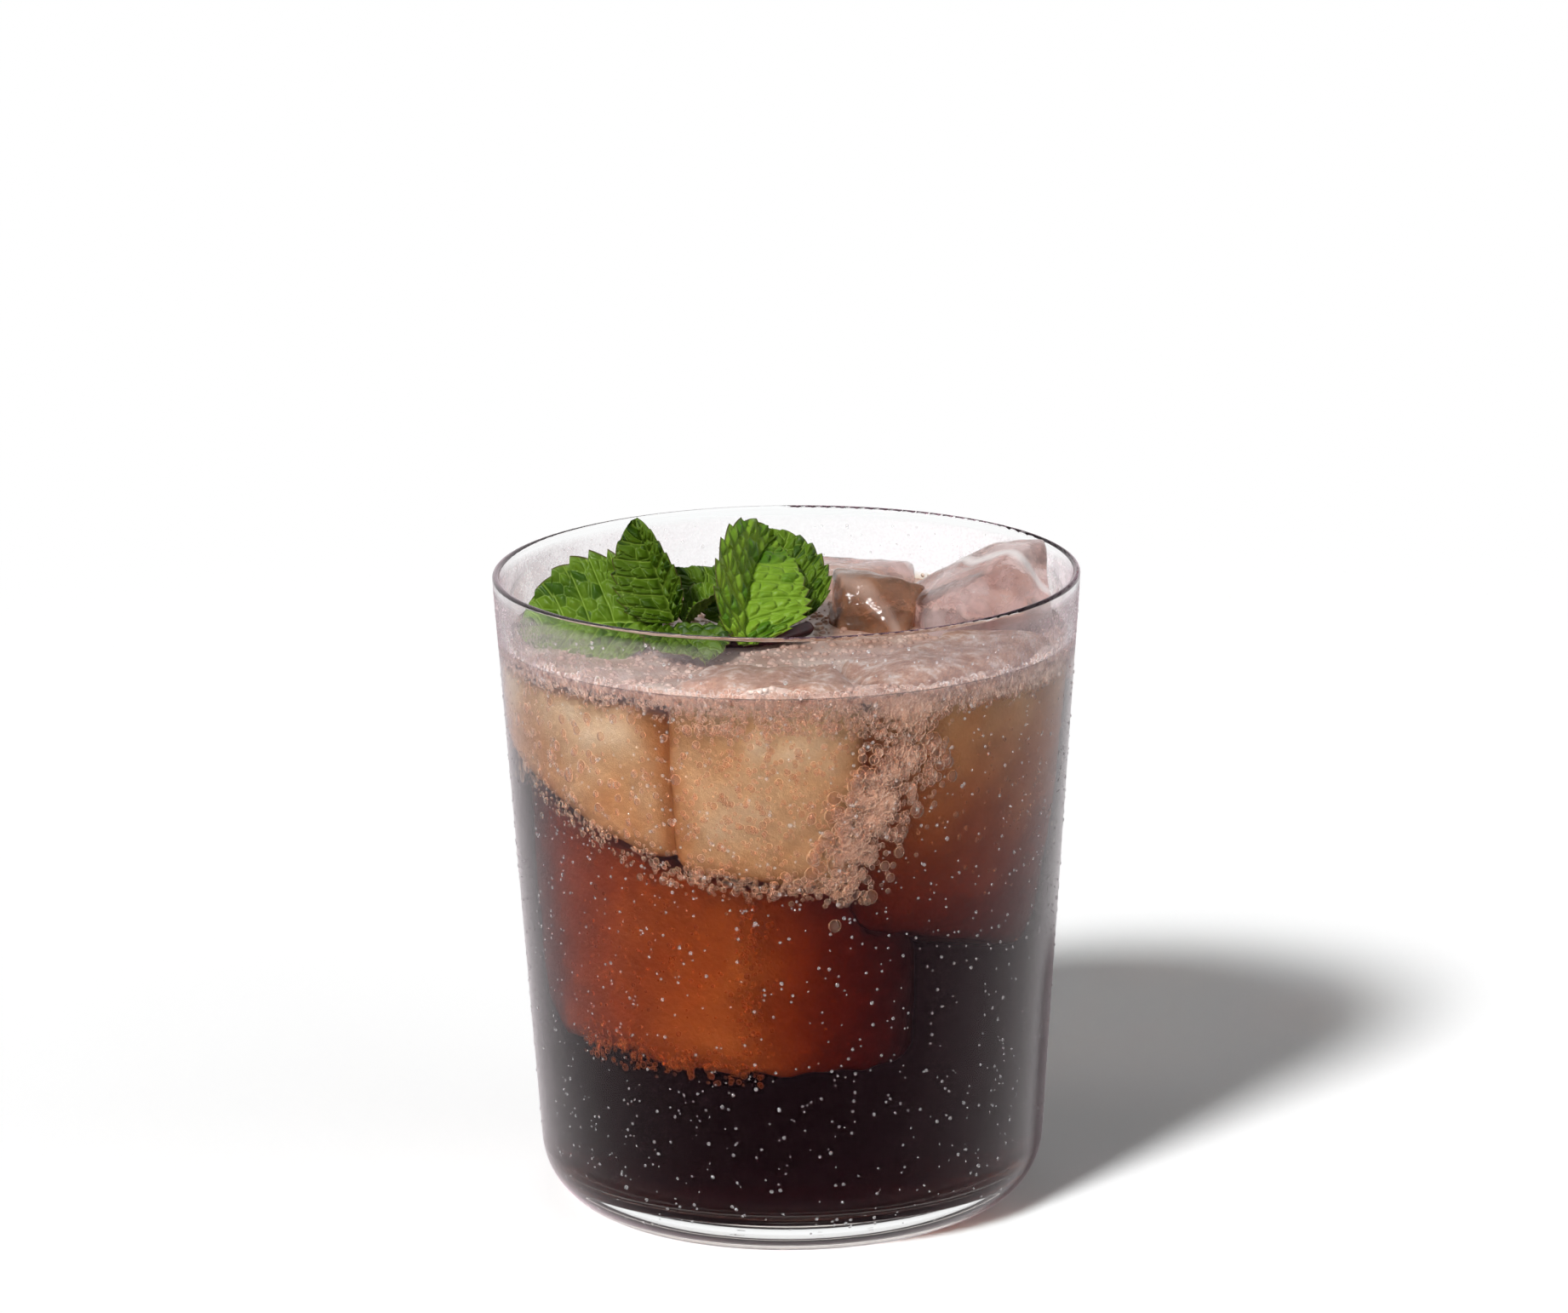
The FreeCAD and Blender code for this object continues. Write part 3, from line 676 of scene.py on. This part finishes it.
def make_droplet_material():
    """Condensed water: nearly clear, with a sharp glint. A tenth of it is a white skin, a painted
    highlight that shows each bead as a pale speck.
    """
    made, tree, output = material("condensed_water")
    # painted highlight: the tenth that doesn't pass through is a white diffuse skin on every bead
    surface = add(tree, "ShaderNodeBsdfPrincipled", inputs={
        "Base Color": (1, 1, 1, 1), "Roughness": 0.0, "IOR": 1.33, "Transmission Weight": 0.9})
    tree.links.new(lets_light_through(tree, surface.outputs[0], "#f2f2f2"), output.inputs["Surface"])
    return made


def mist_rings(height_low, height_high):
    """Rings of a closed thin film on the outside of the glass wall: its outer skin from bottom to
    top, then its inner skin back down."""
    height = np.linspace(height_low, height_high, 90)
    outer_skin, inner_skin = 0.03, 0.012      # how far off the wall they lie
    outer = np.stack([outer_radius(height) + outer_skin, height], -1)
    inner = np.stack([outer_radius(height[::-1]) + inner_skin, height[::-1]], -1)
    return turned(np.concatenate([outer, inner]), 160)


def make_mist_material():
    """Fine condensation, too fine to see its beads: a rosy white veil that scatters what is behind
    it, as thick as its amount says, broken into patches."""
    made, tree, output = material("condensation_mist")
    amount = marked(tree, "amount")
    patch = ramp(tree, noise(tree, 5.0, detail=5.0, roughness=0.65), [(0.3, 0.5), (0.7, 1.0)])
    grain = ramp(tree, noise(tree, 0.5, detail=2.0), [(0.35, 0.6), (0.65, 1.0)])
    alpha = reckoned(tree, "MULTIPLY", amount, reckoned(tree, "MULTIPLY", patch, grain))
    surface = add(tree, "ShaderNodeBsdfPrincipled", inputs={
        "Base Color": linear("#ead9de"), "Roughness": 0.6, "IOR": 1.1, "Transmission Weight": 0.35,
        "Alpha": alpha})
    tree.links.new(surface.outputs[0], output.inputs["Surface"])
    return made


def make_mist(finish):
    """The film of mist with its amount, the share that each skin hides: most on the wall above the
    drink, and more at the left and right than in front, which is painted sheen: a thicker veil at
    the flanks stands in for the pale sheen that the wall shows where it turns away."""
    bottom, top = 9.0, TALL - 1.3
    rings = mist_rings(bottom, top)
    count, size = rings.shape[:2]
    faces = (grid_faces(count + 1, size, True) % (count * size)).tolist()
    piece = mesh_piece("mist_on_the_glass", rings.reshape(-1, 3), faces, finish)
    height = rings[..., 2].ravel()
    # sides: how near a place is to the left and right flanks, where the painted sheen goes
    sides = np.abs(rings[..., 0] / np.hypot(rings[..., 0], rings[..., 1])).ravel()
    above = np.clip((height - LEVEL + 2.5) / 4, 0, 1) * np.clip((top - height) / 1.2, 0, 1)
    # real mist that thickens towards the top, plus painted sheen at the flanks
    amount = 0.002 + 0.010 * np.clip((height - 45) / 40, 0, 1) + 0.05 * sides ** 8
    # the band of real mist above the drink, thickened at the flanks by painted sheen
    amount = amount + above * (0.10 + 0.45 * sides ** 1.3)
    mark(piece, "amount", amount)
    return piece


def make_droplets(finish):
    """Beads of condensed water all over the outside, flat domes 0.2 to 0.8 mm across."""
    rng = np.random.default_rng(41)
    count, smallest, range_of_sizes, flat = 3400, 0.11, 0.28, 0.5
    height = rng.uniform(4, TALL - 2, count)
    bearing = rng.uniform(0, 2 * np.pi, count)
    radii = smallest + range_of_sizes * rng.beta(1.3, 4.0, count)
    foot = np.clip((FOOT_ROUND - height) / FOOT_ROUND, 0, 1)
    radius = outer_radius(height) - FOOT_ROUND * (1 - np.sqrt(1 - foot ** 2))
    centres = np.stack([radius * np.cos(bearing), radius * np.sin(bearing), height], -1)
    return scattered("droplets_outside", BEAD, centres, wall_frames(bearing, radii, flat), finish)


# Patches of bubbles on the inside of the wall: from and to (bearing in degrees, height), spread in
# mm, number, smallest and largest radius in mm, how far behind the wall they lie in mm.
FROTH_PATCHES = [
    ((-180, 83.6), (180, 83.6), 1.3, 1250, 0.16, 0.60, 0.0),  # a band under the surface all round
    ((-180, 85.2), (0, 85.5), 0.65, 1200, 0.22, 0.80, 0.0),   # ringlets just over it in front
    ((-72, 83.6), (-18, 83.8), 0.9, 480, 0.30, 1.00, 0.0),    # piled thicker at the right
    ((-172, 84), (-75, 84), 0.5, 500, 0.18, 0.60, 0.0),       # and a thin line at the left
]
BUBBLE_PATCHES = [
    ((-62, 80), (-81, 59), 3.0, 620, 0.30, 1.60, 0.0),      # the ridge between the middle and right ice
    ((-110, 71), (-80, 71), 6.5, 600, 0.16, 0.75, 0.3),     # all over the middle ice
    ((-112, 82), (-62, 82), 1.5, 400, 0.25, 0.95, 0.0),     # thick under the surface there
    ((-165, 78), (-120, 70), 5.0, 140, 0.25, 1.30, 0.0),    # blisters on the left ice
    ((-172, 72), (-117, 60), 1.3, 260, 0.16, 0.75, 0.2),    # along the foot of the left ice
    ((-115, 59), (-76, 57), 1.1, 280, 0.18, 0.85, 0.3),     # along the foot of the middle ice
    ((-99, 56), (-99, 29), 1.3, 190, 0.18, 0.70, 2.9),      # a chain down the low ice's front edge
    ((-146, 31), (-99, 29), 1.4, 290, 0.18, 0.80, 2.7),     # along its foot
    ((-140, 44), (-104, 44), 6.0, 190, 0.14, 0.50, 2.9),    # on its left face
    ((-55, 70), (-18, 62), 8.0, 150, 0.14, 0.55, 0.8),      # a few on the right ice
]


def wall_bubbles(name, patches, seed, finish):
    """Flattened bubbles that cling to the wall in patches, strewn about the line of each patch."""
    flat, hair = 0.45, 0.02       # thickness over width; off the wall
    rng = np.random.default_rng(seed)
    bearings, heights, sizes, depths = [], [], [], []
    for start, stop, spread, count, small, large, depth in patches:
        share = rng.uniform(0, 1, count)
        height = start[1] + (stop[1] - start[1]) * share + rng.normal(0, spread, count)
        height = np.clip(height, FLOOR_THICK + FLOOR_ROUND + 2, LEVEL + 1.9)
        middle = np.radians(start[0] + (stop[0] - start[0]) * share)
        bearings.append(middle + rng.normal(0, spread, count) / inner_radius(height))
        heights.append(height)
        sizes.append(small + (large - small) * rng.beta(1.0, 3.2, count))
        depths.append(np.full(count, depth))
    bearing, height, radii, behind = (np.concatenate(part) for part in (bearings, heights, sizes, depths))
    radius = inner_radius(height) - radii * flat - hair - behind
    centres = np.stack([radius * np.cos(bearing), radius * np.sin(bearing), height], -1)
    return scattered(name, BEAD, centres, wall_frames(bearing, radii, flat), finish)


def clear_of(places, rings):
    """Which places lie outside a lump's outline at the drink's level. The outline is the lump's
    points near that level, as a distance from their middle at each bearing."""
    points = rings.reshape(-1, 3)
    band, fewest = 1.5, 12
    near = points[np.abs(points[:, 2] - LEVEL) < band][:, :2]
    if len(near) < fewest:
        return np.ones(len(places), bool)
    middle = near.mean(0)
    around, far = np.arctan2(*(near - middle).T[::-1]), np.linalg.norm(near - middle, axis=1)
    order = np.argsort(around)
    away = places - middle
    edge = np.interp(np.arctan2(away[:, 1], away[:, 0]), around[order], far[order], period=2 * np.pi)
    return np.linalg.norm(away, axis=1) > edge


def froth_height(places):
    """How high the froth stands above the drink: a thin uneven layer, heaped against the front."""
    flat = np.concatenate([places, np.zeros((len(places), 1))], 1)
    across = np.linalg.norm(places, axis=1)
    near_wall = np.clip((across - 30) / 9, 0, 1) * np.clip((-places[:, 1] - 2) / 14, 0, 1)
    return 0.30 + 0.16 * waves(flat, 7.0, 61) + near_wall * (1.1 + 0.7 * waves(flat, 5.0, 67))


def froth_skin_rings():
    """A closed disc of froth: under side just in the drink, upper side at the froth's height."""
    edge = inner_radius(LEVEL) - 0.9
    out = np.linspace(0.02, 1, 70)[:, None]
    under = turned(np.concatenate([out * edge, np.full_like(out, LEVEL - 0.15)], 1), 200)
    upper = turned(np.concatenate([out[::-1] * edge, np.full_like(out, LEVEL)], 1), 200)
    height = froth_height(upper[..., :2].reshape(-1, 2)).reshape(upper.shape[:2])
    upper[..., 2] += np.maximum(height, 0.05)
    return np.concatenate([under, upper])


def make_surface_froth(shapes, finish):
    """Bubbles that stand out of the froth between the ice: flattened, of every size."""
    rng = np.random.default_rng(59)
    count, smallest, range_of_sizes, flat = 2600, 0.18, 0.75, 0.7
    radii = smallest + range_of_sizes * rng.beta(1.0, 3.4, count)
    across = (inner_radius(LEVEL) - radii - 0.1) * np.sqrt(rng.uniform(0, 1, count))
    bearing = rng.uniform(0, 2 * np.pi, count)
    places = np.stack([across * np.cos(bearing), across * np.sin(bearing)], -1)
    free = np.ones(count, bool)
    for name, rings in shapes.items():
        if name.startswith("ice"):
            free &= clear_of(places, rings)
    places, radii = places[free], radii[free]
    centres = np.concatenate([places, (LEVEL + froth_height(places))[:, None]], 1)
    frames = np.array([1, 1, flat])[None, :, None] * round_frames(radii)
    return scattered("bubbles_in_the_froth", BEAD, centres, frames, finish)


# ---------------------------------------------------------------- build
def finish_glass():
    """The glass is the solid model's own node, in its material."""
    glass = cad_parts["glass"]
    glass.data.materials.clear()
    glass.data.materials.append(make_glass_material())


def build_ice(shapes):
    """Every piece of ice: clear or brown where it stands high, cloudy where it lies in the drink."""
    wet = make_ice_material(
        "bar_ice_in_coffee", "#fff6ea", "#bd9a85", 0.30, "#404042", 0.03, cracked=0.0, froth=0.9,
        glow=0.7)
    dry = make_ice_material(
        "bar_ice_above_coffee", "#d9c0ba", "#e6d2d0", 0.75, "#d8d8da", 1.0, cracked=0.9, froth=0.0,
        glow=0.0)
    brown = make_ice_material(
        "bar_ice_stained_by_coffee", "#a06a48", "#b98a6c", 0.55, "#b0a89c", 1.0, cracked=0.25,
        froth=0.0, glow=0.0)
    pieces = []
    for name, rings in shapes.items():
        stands_out = name.startswith("ice")
        finish = {"ice_right": dry, "ice_back": dry, "ice_middle": brown}.get(name, wet)
        piece = mesh_piece(name + "_clear" if stands_out else name, *capped(rings), finish)
        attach(piece, "root")
        if stands_out:
            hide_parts(name)
        pieces.append(piece)
    return pieces


def build_drink():
    """The drink, filled to the wall."""
    drink = mesh_piece("coffee", *capped(drink_rings()), make_coffee_material())
    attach(drink, "root")
    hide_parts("drink")
    return drink


def build_froth_skin(finish):
    """The layer of froth on the drink."""
    froth_skin = mesh_piece("froth_skin", *capped(froth_skin_rings()), finish)
    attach(froth_skin, "root")
    return froth_skin


def drawn_in(piece):
    """A copy of a piece with its skin drawn in a hair, to cut with."""
    cutter = piece.copy()
    cutter.data = piece.data.copy()
    cutter.parent = None
    bpy.context.scene.collection.objects.link(cutter)
    count = len(cutter.data.vertices)
    place, normal = np.empty(count * 3), np.empty(count * 3)
    cutter.data.vertices.foreach_get("co", place)
    cutter.data.vertices.foreach_get("normal", normal)
    cutter.data.vertices.foreach_set("co", place - normal * INTO_ICE * MM)
    cutter.data.update()
    return cutter


def cut_round_ice(wholes, ice_pieces):
    """The ice cuts its own place out of the drink and out of the froth."""
    cutters = [drawn_in(piece) for piece in ice_pieces]
    for whole in wholes:
        for cutter in cutters:
            cut = whole.modifiers.new(cutter.name, "BOOLEAN")
            cut.operation = "DIFFERENCE"
            cut.solver = "MANIFOLD"
            cut.object = cutter
    view = bpy.context.evaluated_depsgraph_get()
    for whole in wholes:
        cut_mesh = bpy.data.meshes.new_from_object(whole.evaluated_get(view))
        whole.modifiers.clear()
        whole.data = cut_mesh
        whole.data.set_sharp_from_angle(angle=math.radians(40))
    for cutter in cutters:
        bpy.data.objects.remove(cutter)


def build_mint():
    """The sprig: its leaves, each on its node of the stem, and the stem."""
    leaf_finish = make_leaf_material()
    nodes = stem_nodes()
    for seed, name in enumerate(LEAVES, start=60):
        leaf = make_leaf(name, seed, nodes, leaf_finish)
        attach(leaf, "root")
        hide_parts(name)
    stem = make_stem(nodes, make_stem_material())
    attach(stem, "root")
    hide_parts("mint_stem")


def build_beads_and_mist(shapes, froth_finish):
    """The droplets and mist outside, and the bubbles on the wall, the ice and the froth."""
    bubble_finish = make_bubble_material()
    small = [
        (make_droplets(make_droplet_material()), "clear_glass"),
        (make_mist(make_mist_material()), "clear_glass"),
        (wall_bubbles("froth_at_the_wall", FROTH_PATCHES, 43, bubble_finish), "drink"),
        (wall_bubbles("bubbles_on_the_wall", BUBBLE_PATCHES, 47, bubble_finish), "drink"),
        (make_surface_froth(shapes, froth_finish), "drink"),
    ]
    for piece, slot in small:
        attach(piece, "root")


finish_glass()
shapes = ice_shapes()
ice_pieces = build_ice(shapes)
drink = build_drink()
froth_finish = make_froth_material()
froth_skin = build_froth_skin(froth_finish)
cut_round_ice([drink, froth_skin], ice_pieces)
build_mint()
build_beads_and_mist(shapes, froth_finish)


# ---------------------------------------------------------------- floor, light and camera
def background_rays(tree):
    """1 for the rays that show the background: straight to the camera, mirrored or through glass."""
    path = add(tree, "ShaderNodeLightPath")
    direct = reckoned(tree, "MAXIMUM", path.outputs["Is Camera Ray"], path.outputs["Is Glossy Ray"])
    return reckoned(tree, "MAXIMUM", direct, path.outputs["Is Transmission Ray"])


def make_floor():
    """A white table top. Near the glass it shows the shade that falls on it, further off it turns
    plain white. It lies a hair under the foot, since rays slip through two skins in one plane."""
    made, tree, output = material("white_table")
    seen = background_rays(tree)
    as_light, as_background = 0.8, 1.55       # the second comes to white where the lamps reach
    shade = mixed(tree, seen, grey(as_light), grey(as_background))
    near = add(tree, "ShaderNodeBsdfDiffuse", inputs={"Color": shade})
    far = add(tree, "ShaderNodeEmission", inputs={"Color": (1, 1, 1, 1), "Strength": 1.0})
    away = add(tree, "ShaderNodeVectorMath", {"operation": "LENGTH"}, {
        0: add(tree, "ShaderNodeTexCoord").outputs["Object"]}).outputs["Value"]
    share = add(tree, "ShaderNodeMapRange", inputs={
        "Value": away, "From Min": 0.20, "From Max": 0.45}).outputs[0]
    shown = reckoned(tree, "MULTIPLY", share, seen)
    surface = add(tree, "ShaderNodeMixShader", inputs={0: shown, 1: near.outputs[0], 2: far.outputs[0]})
    tree.links.new(surface.outputs[0], output.inputs["Surface"])
    reach, level = 3000.0, -0.03
    corners = np.array([[-reach, -reach, level], [reach, -reach, level], [reach, reach, level],
                        [-reach, reach, level]])
    floor = mesh_piece("table", corners, [[0, 1, 2, 3]], made, smooth=False)


def make_world():
    """A plain white studio: white as background, weak as light, so that shade stays deep."""
    world = bpy.data.worlds.new("studio")
    world.use_nodes = True
    tree = world.node_tree
    tree.nodes.clear()
    output = add(tree, "ShaderNodeOutputWorld")
    as_light, as_background = 0.08, 1.0
    shown = mixed(tree, background_rays(tree), grey(as_light), grey(as_background))
    background = add(tree, "ShaderNodeBackground", inputs={"Color": shown, "Strength": 1.0})
    tree.links.new(background.outputs[0], output.inputs["Surface"])
    bpy.context.scene.world = world


def make_sun(name, towards, strength, degrees_wide):
    """An even, distant soft light from a direction."""
    lamp = bpy.data.lights.new(name, "SUN")
    lamp.energy = strength
    lamp.angle = math.radians(degrees_wide)
    holder = bpy.data.objects.new(name, lamp)
    holder.rotation_euler = Vector(towards).to_track_quat("Z", "Y").to_euler()
    bpy.context.scene.collection.objects.link(holder)


def make_camera():
    """A long lens, a metre off and 18 degrees up, tipped down and rolled by a hair."""
    away, height = 1.040, math.radians(18.23)
    pitch, yaw, roll = math.radians(13.85), math.radians(-0.027), math.radians(-0.627)
    camera = bpy.data.cameras.new("camera")
    camera.sensor_fit = "HORIZONTAL"
    camera.angle = math.radians(12.89)
    camera.clip_start, camera.clip_end = 0.05, 20.0
    holder = bpy.data.objects.new("camera", camera)
    place = Matrix.Translation((0, -away * math.cos(height), away * math.sin(height)))
    aim = (Matrix.Rotation(-yaw, 4, "Z") @ Matrix.Rotation(math.pi / 2 - pitch, 4, "X")
           @ Matrix.Rotation(roll, 4, "Z"))
    holder.matrix_world = place @ aim
    bpy.context.scene.collection.objects.link(holder)
    bpy.context.scene.camera = holder


make_floor()
make_world()
make_sun("key", (-0.41, -0.65, 0.64), 2.6, 10.0)
make_sun("fill", (0.72, -0.52, 0.46), 0.32, 60.0)
make_camera()
scene = bpy.context.scene
scene.view_settings.view_transform = "Standard"
scene.cycles.max_bounces = 24
scene.cycles.transmission_bounces = 20
scene.cycles.transparent_max_bounces = 24
